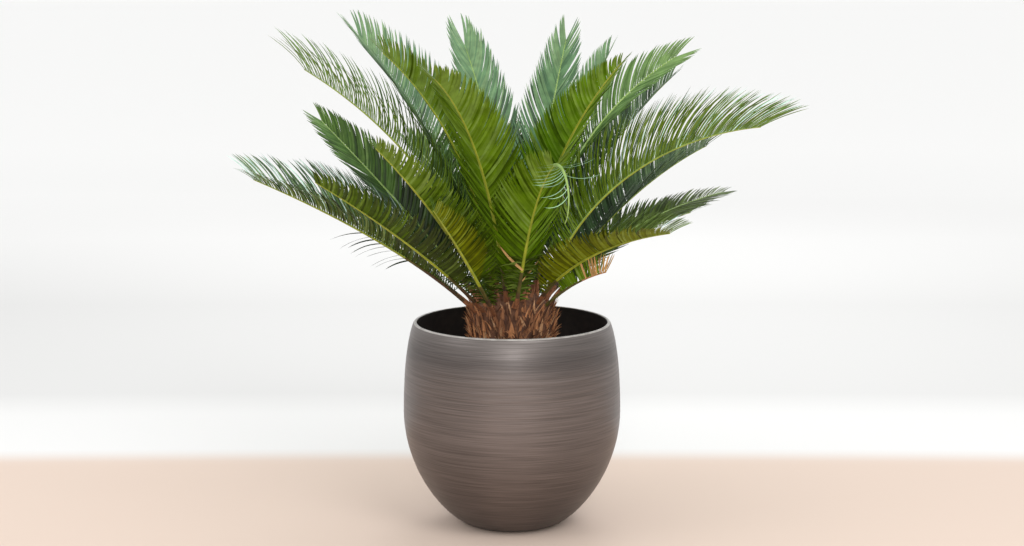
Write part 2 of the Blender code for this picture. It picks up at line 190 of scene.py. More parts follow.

# How a frond looks. Its leaflets have the tones upper and lower up to the share turn of its rib,
# and upper_far and lower_far beyond it. A pair of tones is for the first hand and the other.
# Width and pitch are times the usual ones. A leaflet turns forward by bend degrees from root to
# tip, its tip sinks by droop and it turns about itself by twist. Glints sets how many shine from
# above in the glint tone, a painted glint, and dry has the hand and the place of each dry leaflet.
# Haze is how much paler, with more painted sheen, they grow towards the frond's tip, level how much
# paler all of them are, missing the share left out, and ends the shares of the rib where each
# hand's leaflets end.
Look = namedtuple(
    "Look",
    "upper lower turn upper_far lower_far width pitch bend droop twist glints dry haze level "
    "missing ends",
    defaults=(
        "green", "green_under", 2.0, None, None, 1.0, 1.0, 24.0, 5.0, 20.0, 0.0, (), 1.0, 0.0,
        0.0, (1.0, 1.0),
    ),
)
LOOKS = {
    "frond_left_low": Look(
        ("green", "slate"), "mid_under", 0.6, ("green", "slate"), "mid_under",
        droop=12.0, glints=0.2, haze=0.8, level=0.4,
    ),
    "frond_left_front_low": Look(
        ("green", "slate"), "mid_under", 0.55, ("green", "slate"), "green_under",
        glints=0.18, haze=0.4,
    ),
    "frond_left_back_low": Look(
        ("slate", "deep"), "deep_under", 0.5, ("haze", "green"), "deep_under",
        width=1.2, haze=0.75,
    ),
    "frond_left_front": Look("green", "green_under", width=1.1),
    "frond_left_front_short": Look("green", "yellow_under", level=-1.2),
    "frond_left_open": Look(
        "green", "green_under", width=0.75, pitch=1.2, bend=48.0, haze=1.2, level=0.4,
    ),
    "frond_left_back_tall": Look("green", "green_under", 0.54, "blue", "green_under", width=1.1),
    "frond_left_front_tall": Look("green", "olive", haze=1.2),
    "frond_front_left_tall": Look("green", "olive", width=1.15, haze=1.4),
    "frond_back_left_tall": Look("haze", "green_under", 0.4, "blue", "green_under", width=1.1),
    "frond_back_right_tall": Look("slate", "green_under", 0.4, "blue", "green_under", width=1.1),
    "frond_front_right_tall": Look("green", "bright_under", width=1.15),
    "frond_back_right": Look("blue", "green_under", level=0.5),
    "frond_right_back_tall": Look("slate", "green_under", haze=0.7),
    "frond_right_tall": Look("green", "green_under", 0.6, "haze", "green_under", pitch=1.15, haze=1.1),
    "frond_right_arching": Look("green", "green_under", width=0.72, pitch=0.68, glints=0.3, level=1.1),
    "frond_right_back_low": Look("slate", "green_under", width=1.1),
    "frond_right_low": Look("olive_upper", "olive", width=1.2, pitch=0.85, haze=0.1, level=0.9),
    "frond_right_front_low": Look(
        "olive_upper", "yellow_under", width=1.05, pitch=0.85, glints=0.04, haze=0.8, level=0.4,
    ),
    "frond_right_cut": Look(
        "olive_upper", "olive", 0.82, "dry", "dry",
        droop=-10.0, width=1.4, pitch=0.65, bend=0.0, missing=0.08,
    ),
    "frond_curled": Look("green", "olive", width=1.15, dry=((-1, 0.24), (-1, 0.25), (1, 0.17))),
    "frond_curled_tip": Look(
        "pale", "pale", width=0.5, pitch=1.1, bend=-70.0, droop=0.0, missing=0.35, ends=(0.42, 0.66),
    ),
}

# A blade's shape: its section across, and its width at shares of its length
LEAF_SHAPE = (
    ((-0.5, -0.11), (-0.26, 0.03), (0.26, 0.03), (0.5, -0.11), (0.22, -0.05), (-0.22, -0.05)),
    ((0.0, 0.78), (0.05, 0.84), (0.14, 0.97), (0.32, 1.0), (0.6, 0.94), (0.8, 0.72), (0.93, 0.36),
     (1.0, 0.0)),
)
SCALE_SHAPE = (
    ((-0.5, -0.22), (-0.26, 0.02), (0.26, 0.02), (0.5, -0.22), (0.22, -0.1), (-0.22, -0.1)),
    ((0.0, 1.0), (0.15, 0.98), (0.35, 0.85), (0.6, 0.6), (0.8, 0.36), (1.0, 0.0)),
)

# A rib's section, with the corners of its upper face first
RIB_SECTION = (
    (1.0, 0.1), (0.8, 0.72), (0.42, 0.9), (0.0, 0.7), (-0.42, 0.9),
    (-0.8, 0.72), (-1.0, 0.1), (-0.78, -0.62), (0.0, -1.0), (0.78, -0.62),
)
RIB_UPPER_CORNERS = 6


def unit(vectors):
    return vectors / np.maximum(np.linalg.norm(vectors, axis=-1, keepdims=True), 1e-12)


def mixed(a, b, share):
    return a + (b - a) * share


def outward_at(turn):
    """The level direction at a turn round the axis from +X."""
    return np.array([math.cos(turn), math.sin(turn), 0.0])


def for_hand(value, hand):
    """A frond's value for one hand, where a pair has the first hand's and the other's."""
    return value[0 if hand > 0.0 else 1] if isinstance(value, tuple) else value


# Materials


def colour_of(code):
    """A colour for a shader from sRGB values of 0 to 255."""
    parts = [c / 255 for c in code]
    return tuple(c / 12.92 if c <= 0.04045 else ((c + 0.055) / 1.055) ** 2.4 for c in parts) + (1.0,)


class Paint:
    """A material whose nodes are added one by one."""

    def __init__(self, name):
        self.material = bpy.data.materials.new(name)
        self.material.use_nodes = True
        self.shader = self.material.node_tree.nodes["Principled BSDF"]
        self.place = self.node("TexCoord", {}).outputs["Object"]

    def feed(self, node, inputs):
        """Set a node's inputs to values, or link them where another node's output is given."""
        for key, value in inputs.items():
            if isinstance(value, bpy.types.NodeSocket):
                self.material.node_tree.links.new(value, node.inputs[key])
            else:
                node.inputs[key].default_value = value

    def node(self, kind, inputs, **settings):
        node = self.material.node_tree.nodes.new("ShaderNode" + kind)
        for setting, value in settings.items():
            setattr(node, setting, value)
        self.feed(node, inputs)
        return node

    def grain(self, place, stretch, scale, detail):
        """Noise at a place whose axes are stretched."""
        sized = self.node("Mapping", {"Vector": place, "Scale": stretch}).outputs["Vector"]
        noisy = self.node("TexNoise", {"Vector": sized, "Scale": scale, "Detail": detail})
        return noisy.outputs["Fac"]

    def ramp(self, amount, stops):
        """A colour that follows an amount through stops of a position and an sRGB colour."""
        ramp = self.node("ValToRGB", {"Fac": amount})
        elements = ramp.color_ramp.elements
        for k in (0, -1):
            elements[k].position = stops[k][0]
            elements[k].color = colour_of(stops[k][1])
        for position, colour in stops[1:-1]:
            elements.new(position).color = colour_of(colour)
        return ramp.outputs["Color"]

    def tinted(self, colour, tint):
        """A colour multiplied by another."""
        inputs = {0: 1.0, 6: colour, 7: tint}
        return self.node("Mix", inputs, data_type="RGBA", blend_type="MULTIPLY").outputs[2]

    def bump(self, height, strength, depth):
        """Let the shader's surface rise and fall with a height."""
        inputs = {"Height": height, "Strength": strength, "Distance": depth}
        self.feed(self.shader, {"Normal": self.node("Bump", inputs).outputs["Normal"]})


def surface(name, dark, light, scale, roughness, bump=0.2, stretch=(1.0, 1.0, 1.0), gloss=0.5):
    """A material that wanders between two colours, with a bump of the same grain."""
    paint = Paint(name)
    grain = paint.grain(paint.place, stretch, scale, 4.0)
    colour = paint.ramp(grain, ((0.36, dark), (0.66, light)))
    paint.bump(grain, bump, 0.0006)
    look = {"Base Color": colour, "Roughness": roughness, "Specular IOR Level": gloss}
    paint.feed(paint.shader, look)
    return paint.material


# The pot's glaze: the colours of its lines, and its tint at shares of its height. The tint is
# painted light and shade: darker towards the foot, a painted shade, palest at mid height, a painted
# highlight, and darker in a band just below the lip, a painted shade
GLAZE_LINES = ((0.33, (98, 92, 89)), (0.67, (128, 121, 118)))
GLAZE_PAINTED_LIGHT_AND_SHADE = (
    (0.0, (186, 172, 165)), (0.30, (234, 222, 217)), (0.50, (252, 244, 242)),
    (0.80, (250, 244, 242)), (0.88, (208, 205, 205)), (1.0, (255, 255, 255)),
)


def pot_material():
    """Satin dark metal glaze in fine level lines, with painted light and shade: tinted by height, and
    darker in four places.
    """
    paint = Paint("pot_outside")
    split = paint.node("SeparateXYZ", {"Vector": paint.place}).outputs
    level = paint.node("CombineXYZ", {"X": split["X"], "Y": split["Y"]}).outputs["Vector"]
    around = paint.node("VectorMath", {0: level}, operation="NORMALIZE").outputs["Vector"]
    turned = paint.node("SeparateXYZ", {"Vector": around}).outputs
    sides = {"X": turned["X"], "Y": turned["Y"], "Z": split["Z"]}
    place = paint.node("CombineXYZ", sides).outputs["Vector"]
    fine = paint.grain(place, (1.8, 1.8, 700.0), 1.0, 3.0)
    coarse = paint.grain(place, (1.2, 1.2, 110.0), 1.0, 3.0)
    cloud = paint.grain(place, (3.0, 3.0, 14.0), 1.0, 2.0)
    faint = paint.node("Math", {0: coarse, 1: 0.22}, operation="MULTIPLY").outputs["Value"]
    both = paint.node("Math", {0: fine, 1: 0.78, 2: faint}, operation="MULTIPLY_ADD")
    lines = both.outputs["Value"]
    height = paint.node("MapRange", {"Value": split["Z"], "From Max": POT_HEIGHT})
    # The tint by height is painted light and shade on the glaze
    tint = paint.ramp(height.outputs["Result"], GLAZE_PAINTED_LIGHT_AND_SHADE)
    glaze = paint.tinted(paint.ramp(lines, GLAZE_LINES), tint)
    # The glaze is darker at the four diagonals round the pot, which the front sees on either side of the
    # middle: painted shade
    corner = paint.node("Math", {0: turned["X"], 1: turned["Y"]}, operation="MULTIPLY")
    size = paint.node("Math", {0: corner.outputs["Value"]}, operation="ABSOLUTE")
    painted_side_shade = paint.node(
        "MapRange",
        {"Value": size.outputs["Value"], "From Min": 0.1, "From Max": 0.5, "To Min": 1.0, "To Max": 0.76},
        interpolation_type="SMOOTHSTEP",
    )
    satin = paint.node("MapRange", {"Value": cloud, "To Min": 0.30, "To Max": 0.44})
    paint.bump(lines, 0.14, 0.0004)
    paint.feed(paint.shader, {
        "Base Color": paint.tinted(glaze, painted_side_shade.outputs["Result"]),
        "Roughness": satin.outputs["Result"],
        "Metallic": 0.45,
        "Anisotropic": 0.5,
    })
    return paint.material


# Meshes


class Heap:
    """Vertices, faces and material slots that are gathered for one piece."""

    def __init__(self):
        self.vertices = []
        self.faces = []
        self.slots = []
        self.total = 0

    def add(self, vertices, faces, slots):
        self.vertices.append(np.asarray(vertices).reshape(-1, 3))
        self.faces.extend(tuple(int(i) + self.total for i in face) for face in faces)
        self.slots.extend(slots)
        self.total += len(self.vertices[-1])

    def piece(self, name, materials, cad_nodes, slot, smooth=40.0):
        """Make the piece of the object, standing for some CAD nodes."""
        mesh = bpy.data.meshes.new(name)
        mesh.from_pydata(np.vstack(self.vertices), [], self.faces)
        for made in materials:
            mesh.materials.append(made)
        mesh.polygons.foreach_set("material_index", np.asarray(self.slots, dtype=np.int32))
        mesh.shade_smooth()
        mesh.set_sharp_from_angle(angle=math.radians(smooth))
        piece = bpy.data.objects.new(name, mesh)
        bpy.context.scene.collection.objects.link(piece)
        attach(piece, "root")
        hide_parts(*cad_nodes)


def ring_faces(rings, corners):
    """Faces between rings of corners, from the first ring to the last."""
    faces = []
    for j in range(rings - 1):
        here, there = j * corners, (j + 1) * corners
        for k in range(corners):
            n = (k + 1) % corners
            faces.append((here + k, here + n, there + n, there + k))
    return faces


def blade_faces(rings, corners):
    """Faces of a closed blade of rings that ends in one point, base cap first."""
    faces = [tuple(reversed(range(corners)))] + ring_faces(rings, corners)
    last = (rings - 1) * corners
    for k in range(corners):
        faces.append((last + k, last + (k + 1) % corners, rings * corners))
    return faces


def blades(heap, shape, rings, roots, starts, ends, uppers, lengths, widths, twists, tones, curl=1.0):
    """Add closed blades that leave their roots along starts and end along ends, facing uppers."""
    section, outline = shape
    count = len(roots)
    if count == 0:
        return
    steps = np.linspace(0.0, 1.0, rings + 1)
    middle = (steps[1:] + steps[:-1]) / 2
    way = unit(starts[:, None] + (ends - starts)[:, None] * (middle ** curl)[None, :, None])
    path = np.cumsum(way * (lengths / rings)[:, None, None], axis=1)
    path = np.concatenate([np.zeros((count, 1, 3)), path], axis=1) + roots[:, None]
    aim = unit(starts[:, None] + (ends - starts)[:, None] * (steps ** curl)[None, :, None])
    up = unit(uppers[:, None] - aim * np.sum(uppers[:, None] * aim, axis=-1, keepdims=True))
    wide = np.cross(aim, up)
    turn = np.radians(twists)[:, None, None] * (1.0 - 0.7 * steps)[None, :, None]
    up, wide = up * np.cos(turn) - wide * np.sin(turn), wide * np.cos(turn) + up * np.sin(turn)
    size = np.interp(steps, *zip(*outline))[None, :] * widths[:, None]
    corners = len(section)
    across, high = (np.array(values) for values in zip(*section))
    rim = (
        path[:, :-1, None]
        + wide[:, :-1, None] * (across[None, None, :] * size[:, :-1, None])[..., None]
        + up[:, :-1, None] * (high[None, None, :] * size[:, :-1, None])[..., None]
    ).reshape(count, rings * corners, 3)
    points = np.concatenate([rim, path[:, -1:]], axis=1)
    stride = points.shape[1]
    each = blade_faces(rings, corners)
    faces = [tuple(i + b * stride for i in face) for b in range(count) for face in each]
    # The base cap is a lower face, and in each ring three upper faces come before three lower ones
    lower = [1] + [0, 0, 0, 1, 1, 1] * rings
    slots = [int(tones[b][k]) for b in range(count) for k in lower]
    heap.add(points, faces, slots)


# Fronds, by the rule of the part's source


def dome(radius):
    return CROWN_TOP - DOME_FALL * radius * radius


def caudex_outline():
    flank = [(0.85, 0.0), (0.95, 0.22), (1.0, 0.45), (1.0, 0.62)]
    shoulder = dome(CAUDEX_RADIUS) - CAUDEX_FOOT
    sides = [(CAUDEX_RADIUS * r, CAUDEX_FOOT + shoulder * z) for r, z in flank]
    top = [(CAUDEX_RADIUS * r, dome(CAUDEX_RADIUS * r)) for r in (0.96, 0.78, 0.58, 0.38, 0.18)]
    return [(0.0, CAUDEX_FOOT)] + sides + top + [(0.0, CROWN_TOP)]


def lathe(outline, segments):
    """Vertices and faces of a body turned about the axis, whose outline starts and ends on it."""
    turns = np.arange(segments) * 2 * math.pi / segments
    ring = np.stack([np.cos(turns), np.sin(turns)], axis=1)
    middle = [(r, z) for r, z in outline if r > 0.0]
    vertices = [np.column_stack([ring * r, np.full(segments, z)]) for r, z in middle]
    faces = ring_faces(len(middle), segments)
    last = (len(middle) - 1) * segments
    start, end = len(middle) * segments, len(middle) * segments + 1
    vertices.append(np.array([[0.0, 0.0, outline[0][1]], [0.0, 0.0, outline[-1][1]]]))
    for k in range(segments):
        n = (k + 1) % segments
        faces.append((n, k, start))
        faces.append((last + k, last + n, end))
    return np.vstack(vertices), faces


def rib_frames(frond, base, shares):
    """Places, directions, sides and upper-face normals of a frond's rib at shares of its length."""
    shares = np.asarray(shares, dtype=float)
    s = np.linspace(0.0, 1.0, CURVE_STEPS + 1)
    lean = np.radians(frond.lean[0] + (frond.lean[1] - frond.lean[0]) * s ** frond.bend)
    heading = math.radians(frond.heading)
    outward = outward_at(heading)
    direction = np.sin(lean)[:, None] * outward + np.cos(lean)[:, None] * UP
    steps = (direction[1:] + direction[:-1]) / 2 * frond.length / CURVE_STEPS
    points = np.vstack([np.zeros(3), np.cumsum(steps, axis=0)]) + np.array(base)
    level = np.cross(UP, outward)
    place = np.stack([np.interp(shares, s, points[:, axis]) for axis in range(3)], axis=-1)
    along = unit(np.stack([np.interp(shares, s, direction[:, axis]) for axis in range(3)], axis=-1))
    roll = np.radians(frond.roll) * shares[:, None]
    side = level * np.cos(roll) + np.cross(along, level) * np.sin(roll)
    return place, along, side, np.cross(along, side)


def leaflet_length(frond, shares):
    u = (shares - frond.stalk) / (1.0 - frond.stalk)
    grow = np.minimum(np.maximum(u, 0.0) / GROWING_SHARE, 1.0) ** 0.6
    fade = 1.0 - frond.fade * np.maximum((u - FADING_SHARE) / (1.0 - FADING_SHARE), 0.0) ** 1.6
    return frond.leaflet * grow * fade


def seat_of(frond, caudex_tree):
    """A frond's base, slid back along its rib until its foot stands a gap clear of the crown."""
    turn = math.radians(frond.heading if frond.seat is None else frond.seat)
    base = outward_at(turn) * frond.ring + UP * dome(frond.ring)
    place, along, side, normal = (v[0] for v in rib_frames(frond, base, [0.0]))
    start = place + along * SEAT_START
    wide = side * RIB_WIDTH[0] / 2
    deep = normal * RIB_DEPTH[0] / 2
    foot = [start + wide * i + deep * j for i in (-1, 0, 1) for j in (-1, 0, 1)]
    hits = [caudex_tree.ray_cast(Vector(point), Vector(-along))[3] for point in foot]
    return start - along * (min(d for d in hits if d is not None) - SEAT_GAP)


def rib_mesh(frond, base):
    """Vertices, faces and slots of a frond's rib: a grooved, tapering rod."""
    rings = max(8, round(frond.length / RIB_STEP))
    corners = len(RIB_SECTION)
    shares = np.linspace(0.0, 1.0, rings)
    reach = shares * frond.length
    place, along, side, normal = rib_frames(frond, base, shares)
    thick = 1.0 + 0.5 * np.exp(-reach / 0.025)
    if frond.stalk == 0.0:
        thick = np.full(rings, 0.8)
    wide = (mixed(RIB_WIDTH[0], RIB_WIDTH[1] * 0.6, shares) / 2 * thick)[:, None, None]
    deep = (mixed(RIB_DEPTH[0], RIB_DEPTH[1] * 0.7, shares) / 2)[:, None, None]
    section = np.array(RIB_SECTION)[None]
    points = place[:, None] + side[:, None] * wide * section[..., :1]
    points = points + normal[:, None] * deep * section[..., 1:]
    caps = [tuple(reversed(range(corners))), tuple(range((rings - 1) * corners, rings * corners))]
    faces = caps + ring_faces(rings, corners)
    slots = [rib_tone(frond, 0.0, False), rib_tone(frond, 1.0, False)]
    for j in range(rings - 1):
        slots += [rib_tone(frond, reach[j], k < RIB_UPPER_CORNERS) for k in range(corners)]
    return points.reshape(-1, 3), faces, slots


def rib_tone(frond, reach, upper):
    """The slot of a rib's colour at a distance from its foot."""
    if frond is CURLED_TIP:
        return RIB_PALE
    if frond.name == "frond_right_cut":
        return STALK_OLIVE if reach < 0.07 else RIB_DRY
    brown = STALK_BROWN.get(frond.name, 0.046 if frond.ring > 0.060 else 0.028)
    if reach < min(brown * 0.5, 0.024):
        return STALK_FOOT
    if reach < brown:
        return STALK_DARK
    if reach < brown + 0.040:
        return STALK_OLIVE
    return RIB_PALE if upper else RIB_YELLOW


def tree_from(vertices, faces):
    return BVHTree.FromPolygons([tuple(v) for v in vertices], faces)


def free_reach(path, trees):
    """The share of a path that is free of the trees' surfaces."""
    steps = len(path) - 1
    for j in range(1, steps):
        start, end = Vector(path[j]), Vector(path[j + 1])
        run = end - start
        for tree in trees:
            hit = tree.ray_cast(start, run.normalized(), run.length)
            if hit[0] is not None:
                return (j + hit[3] / run.length) / steps
    return 1.0


def trim(roots, starts, ends, lengths, keep, trees, least=0.3):
    """Shorten the blades that would enter a part whose surface is among the trees, and keep those
    with more than the least share of their path free."""
    middles = ((np.arange(PATH_STEPS) + 0.5) / PATH_STEPS)[:, None]
    for i in np.flatnonzero(keep):
        way = unit(starts[i] + (ends[i] - starts[i]) * middles)
        reached = roots[i] + np.cumsum(way * lengths[i] / PATH_STEPS, axis=0)
        free = free_reach(np.vstack([roots[i], reached]), trees)
        keep[i] = free > least
        if free < 1.0:
            lengths[i] *= free * CLEAR_SHARE


def leaflet_tones(look, hand, shares, rng):
    """The slots of the upper and lower faces of the leaflets on one hand."""
    count = len(shares)
    beyond = shares + rng.normal(0.0, 0.06, count) > look.turn
    # Leaflets are paler towards the tip, in shades that hold more painted sheen, and vary at random
    pale = np.interp(shares, PALE_SHARES, PALE_SHADES) * look.haze + look.level
    pale += rng.normal(0.0, 1.15, count)
    shade = np.clip(np.rint(pale), 0, len(LEAF_SHADES) - 1).astype(int)
    glints = rng.uniform(0.0, 1.0, count)
    tones = np.empty((count, 2), dtype=int)
    for i in range(count):
        pair = (look.upper_far, look.lower_far) if beyond[i] else (look.upper, look.lower)
        names = [for_hand(name, hand) for name in pair]
        # Some upper faces take the glint tone: a painted glint
        if glints[i] < look.glints * (0.3 + shares[i]):
            names[0] = "glint"
        tones[i] = [LEAF_SLOT[name] + shade[i] for name in names]
    return tones


def frond_leaflets(frond, base, look, heap, trees, rng):
    """A frond's leaflets on both hands of its rib, each in its own outline."""
    room = frond.length * (1.0 - frond.stalk)
    count = max(FEWEST_LEAFLETS, round(room / (LEAFLET_PITCH * look.pitch)))
    for hand in (1.0, -1.0):
        order = (np.arange(count) + 0.5 + rng.uniform(-0.14, 0.14, count) + 0.2 * hand) / count
        shares = frond.stalk + (1.0 - frond.stalk) * np.clip(order, 0.002, 0.998)
        place, along, side, normal = rib_frames(frond, base, shares)
        keel = np.radians(for_hand(frond.keel, hand) + rng.normal(0.0, 2.5, count))[:, None]
        across = side * hand * np.cos(keel) + normal * np.sin(keel)
        face = normal * np.cos(keel) - side * hand * np.sin(keel)
        closing = np.clip((shares - CLOSING_SHARE) / (1.0 - CLOSING_SHARE), 0.0, 1.0) ** 1.5
        forward = mixed(*LEAFLET_ANGLE, shares) + frond.spread - CLOSING * closing
        forward = forward + rng.normal(0.0, 1.6, count)
        bend = look.bend / 2 * (1.0 - 0.5 * closing)
        first = np.radians(forward + bend)[:, None]
        final = np.radians(forward - bend)[:, None]
        starts = along * np.cos(first) + across * np.sin(first)
        droop = np.sin(np.radians(look.droop + rng.normal(0.0, 3.0, count)))[:, None]
        ends = unit(along * np.cos(final) + across * np.sin(final) - UP * droop)
        starts = unit(starts + UP * 0.5 * droop)
        half = mixed(RIB_WIDTH[0], RIB_WIDTH[1] * 0.7, shares) / 2
        roots = place + side * (hand * half * 0.6)[:, None] + normal * (half * 0.3)[:, None]
        shorter = np.abs(rng.normal(0.0, 0.025 + 0.3 * look.missing, count))
        lengths = leaflet_length(frond, shares) * (1.0 - shorter)
        widths = LEAFLET_WIDTH * look.width * np.clip(lengths / 0.07, 0.5, 1.0)
        twists = hand * (look.twist + rng.normal(0.0, 7.0, count))
        keep = rng.uniform(0.0, 1.0, count) >= look.missing
        keep &= shares <= for_hand(look.ends, hand)
        trim(roots, starts, ends, lengths, keep, trees)
        tones = leaflet_tones(look, hand, shares, rng)
        for dry_hand, dry_share in look.dry:
            if dry_hand == hand:
                i = int(np.argmin(np.abs(shares - dry_share)))
                tones[i] = LEAF_SLOT["dry"] + 2
                roots[i] -= normal[i] * 0.004
                lengths[i] *= 0.8
        blades(
            heap, LEAF_SHAPE, LEAFLET_RINGS, roots[keep], starts[keep], ends[keep], face[keep],
            lengths[keep], widths[keep], twists[keep], tones[keep],
        )


def foot_leaflets(frond, base, heap, trees, rng):
    """Short, thin, arching leaflets low on the fronds that have hardly any bare stalk."""
    if frond.stalk > 0.06 or frond.stalk == 0.0:
        return
    reach = np.arange(0.014, 0.095, 0.0023)
    count = len(reach)
    for hand in (1.0, -1.0):
        shares = (reach + rng.normal(0.0, 0.0012, count)) / frond.length
        place, along, side, normal = rib_frames(frond, base, shares)
        lift = np.radians(rng.normal(12.0, 14.0, count))[:, None]
        across = side * hand * np.cos(lift) + normal * np.sin(lift)
        starts = unit(along * rng.uniform(-0.1, 1.1, (count, 1)) + across)
        ends = unit(across - along * rng.uniform(-0.2, 0.5, (count, 1)) - UP * 0.35)
        lengths = np.interp(reach, (0.014, 0.05, 0.095), (0.014, 0.028, 0.036))
        lengths = lengths * rng.uniform(0.6, 1.2, count)
        roots = place + side * (hand * 0.0022)
        keep = np.ones(count, dtype=bool)
        trim(roots, starts, ends, lengths, keep, trees, least=0.5)
        shade = rng.choice(4, count)
        tones = np.stack([LEAF_SLOT["green"] + shade, LEAF_SLOT["mid_under"] + shade], axis=1)
        twists = hand * rng.normal(15.0, 20.0, keep.sum())
        blades(
            heap, LEAF_SHAPE, LEAFLET_RINGS, roots[keep], starts[keep], ends[keep], normal[keep],
            lengths[keep], np.full(keep.sum(), FOOT_LEAFLET_WIDTH), twists, tones[keep],
        )


def hanging_leaflets(frond, base, heap, rng):
    """A few thin leaflets that hang below a low frond's rib."""
    count = HANGING_COUNT
    shares = np.linspace(*HANGING_SHARES, count) + rng.normal(0.0, 0.006, count)
    place, along, _, normal = rib_frames(frond, base, shares)
    first = np.radians(HANGING_ANGLE - 16.0 + rng.normal(0.0, 4.0, count))[:, None]
    final = np.radians(HANGING_ANGLE + 14.0 + rng.normal(0.0, 4.0, count))[:, None]
    starts = along * np.cos(first) - normal * np.sin(first)
    ends = along * np.cos(final) - normal * np.sin(final)
    lengths = HANGING_LENGTH * rng.uniform(0.72, 1.0, count)
    # The deep tone is a painted shade for leaflets that hang below the rib
    tones = np.full((count, 2), LEAF_SLOT["deep"] + 1)
    blades(
        heap, LEAF_SHAPE, LEAFLET_RINGS, place - normal * 0.001, starts, ends, normal, lengths,
        np.full(count, HANGING_WIDTH), rng.normal(0.0, 30.0, count), tones,
    )


def stalk_spines(frond, base, heap, rng):
    """Short stiff spines, leaflets that never grew, along the upper part of a frond's stalk."""
    if frond.stalk < 0.1 or frond.length < 0.3:
        return
    reach = np.arange(0.024, frond.stalk * frond.length, 0.0085)
    count = len(reach)
    for hand in (1.0, -1.0):
        shares = reach / frond.length + rng.normal(0.0, 0.003, count)
        place, along, side, normal = rib_frames(frond, base, shares)
        across = side * hand * 0.85 + normal * 0.52
        half = mixed(*RIB_WIDTH, shares) / 2
        roots = place + side * (hand * half * 0.7)[:, None]
        lengths = np.interp(reach, (0.02, 0.075), (0.0035, 0.015)) * rng.uniform(0.75, 1.25, count)
        blades(
            heap, LEAF_SHAPE, SPINE_RINGS, roots, unit(along * 0.75 + across),
            unit(along * 1.1 + across * 0.8), normal, lengths, np.full(count, SPINE_WIDTH),
            np.zeros(count), np.full((count, 2), LEAF_SLOT["green"]),
        )


# Leaf tones: the colour of each, its roughness and its gloss. Some hold painted light and shade:
# deep, deep_under and mid_under are darker copies of green for leaflets in shade, a painted shade;
# haze, blue and slate are paler, bluer copies of green, a painted sheen; glint is a painted glint;
# and green_under, olive, bright_under and yellow_under are the undersides' own paler colour, made
# yellower and brighter by painted light shining through them. Leaves are paler towards a frond's
# tip, a painted sheen, so each tone has shades, from the darkest to the one that is mixed most with
# haze.
LEAF_TONES = {
    "deep": ((34, 56, 12), 0.45, 0.3),
    "green": ((52, 86, 14), 0.5, 0.28),
    "olive_upper": ((70, 92, 20), 0.45, 0.3),
    "haze": ((72, 108, 44), 0.45, 0.35),
    "blue": ((90, 128, 90), 0.45, 0.35),
    "slate": ((56, 84, 50), 0.45, 0.35),
    "glint": ((176, 200, 190), 0.4, 0.5),
    "pale": ((140, 178, 140), 0.5, 0.4),
    "deep_under": ((42, 64, 4), 0.65, 0.08),
    "mid_under": ((60, 78, 6), 0.6, 0.12),
    "green_under": ((78, 105, 6), 0.65, 0.08),
    "olive": ((86, 116, 4), 0.65, 0.06),
    "bright_under": ((82, 120, 4), 0.65, 0.06),
    "yellow_under": ((104, 113, 2), 0.65, 0.06),
    "dry": ((184, 146, 92), 0.8, 0.2),
}
# The haze colour that the paler shades are mixed with is a painted sheen; the tones in HAZELESS only grow
# lighter
LEAF_SHEEN_HAZE = (152, 174, 120)
LEAF_SHADES = ((0.72, 0.0), (0.94, 0.0), (1.0, 0.12), (1.02, 0.28), (1.04, 0.48))
HAZELESS = ("glint", "pale", "dry")
LEAF_SLOT = {name: len(LEAF_SHADES) * k for k, name in enumerate(LEAF_TONES)}


def leaf_materials():
    """The shades of every leaf tone, in the order of their slots."""
    made = []
    for name, (colour, roughness, gloss) in LEAF_TONES.items():
        for k, (level, haze) in enumerate(LEAF_SHADES):
            if name in HAZELESS:
                level, haze = 0.84 + 0.08 * k, 0.0
            middle = [mixed(c * level, h, haze) for c, h in zip(colour, LEAF_SHEEN_HAZE)]
            dark = tuple(c * 0.9 for c in middle)
            light = tuple(min(c * 1.08, 255.0) for c in middle)
            made.append(surface(f"leaf_{name}_{k}", dark, light, 60.0, roughness, gloss=gloss))
    return made


RIB = [
    surface("stalk_foot", (112, 68, 42), (146, 94, 58), 180.0, 0.75, bump=0.4),
    surface("stalk_brown", (66, 48, 30), (92, 68, 40), 120.0, 0.65, bump=0.3),
    surface("stalk_olive", (72, 66, 28), (98, 90, 34), 90.0, 0.55),
    surface("rib_yellow", (140, 150, 34), (164, 170, 48), 60.0, 0.45),
    surface("rib_pale", (136, 166, 84), (160, 188, 108), 60.0, 0.45),
    surface("rib_dry", (160, 110, 70), (190, 140, 92), 90.0, 0.8),
]
STALK_FOOT, STALK_DARK, STALK_OLIVE, RIB_YELLOW, RIB_PALE, RIB_DRY = range(len(RIB))

# Scale tones, from the darkest
SCALE_TONES = (
    ("dark", (82, 52, 36), (116, 78, 54), 0.85),
    ("brown", (136, 90, 60), (174, 120, 82), 0.8),
    ("orange", (184, 122, 80), (218, 156, 106), 0.78),
    ("tan", (192, 142, 100), (224, 180, 138), 0.8),
)
SCALE = [
    surface(f"scale_{name}", dark, light, 160.0, roughness, bump=0.5, stretch=(1.0, 1.0, 0.35))
    for name, dark, light, roughness in SCALE_TONES
]


def group_of(name):
    """The group that a frond is joined in."""
    if "back" in name and name not in SIDE_FRONDS:
        return "back"
    if "left" in name and "front_left" not in name:
        return "left"
    if "right" in name and "front_right" not in name:
        return "right"
    return "centre"


